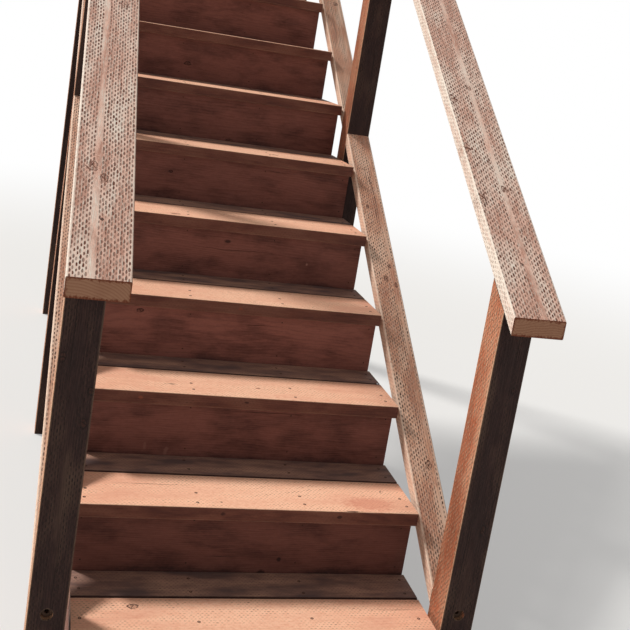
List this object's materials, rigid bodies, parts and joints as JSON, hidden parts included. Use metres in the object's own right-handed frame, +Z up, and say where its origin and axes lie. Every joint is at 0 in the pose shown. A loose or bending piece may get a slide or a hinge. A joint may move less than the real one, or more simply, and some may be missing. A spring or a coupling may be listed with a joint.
{
  "type": "wooden deck stairs",
  "caption": "Straight flight of stained timber deck stairs with closed risers, cut stringers, square posts, flat cap rails and lower rails on both sides.",
  "frame": {"origin": "centre of the bounding box on the ground, below the middle of the flight", "axes": "+Y is the way the flight climbs, +Z is up, +X is to the right of someone going up"},
  "size_m": [1.182, 3.281, 3.4043],
  "materials": {
    "tread_boards": "red-brown stained incised boards",
    "riser_boards": "red-brown stained boards",
    "posts": "brown stained incised posts",
    "rails": "weathered brown stained incised boards",
    "framing": "brown stained planks"
  },
  "bodies": {
    "root": {"stringer_left": "framing", "stringer_inner_left": "framing", "stringer_inner_right": "framing", "stringer_right": "framing", "tread_01": "tread_boards", "tread_02": "tread_boards", "tread_03": "tread_boards", "tread_04": "tread_boards", "tread_05": "tread_boards", "tread_06": "tread_boards", "tread_07": "tread_boards", "tread_08": "tread_boards", "tread_09": "tread_boards", "tread_10": "tread_boards", "tread_11": "tread_boards", "riser_01": "riser_boards", "riser_02": "riser_boards", "riser_03": "riser_boards", "riser_04": "riser_boards", "riser_05": "riser_boards", "riser_06": "riser_boards", "riser_07": "riser_boards", "riser_08": "riser_boards", "riser_09": "riser_boards", "riser_10": "riser_boards", "riser_11": "riser_boards", "header": "framing", "crosspiece": "framing", "post_bottom_left": "posts", "post_bottom_right": "posts", "post_middle_left": "posts", "post_middle_right": "posts", "post_top_left": "posts", "post_top_right": "posts", "lower_rail_1_left": "rails", "lower_rail_1_right": "rails", "lower_rail_2_left": "rails", "lower_rail_2_right": "rails", "cap_rail_left": "rails", "cap_rail_right": "rails"}
  },
  "joints": []
}
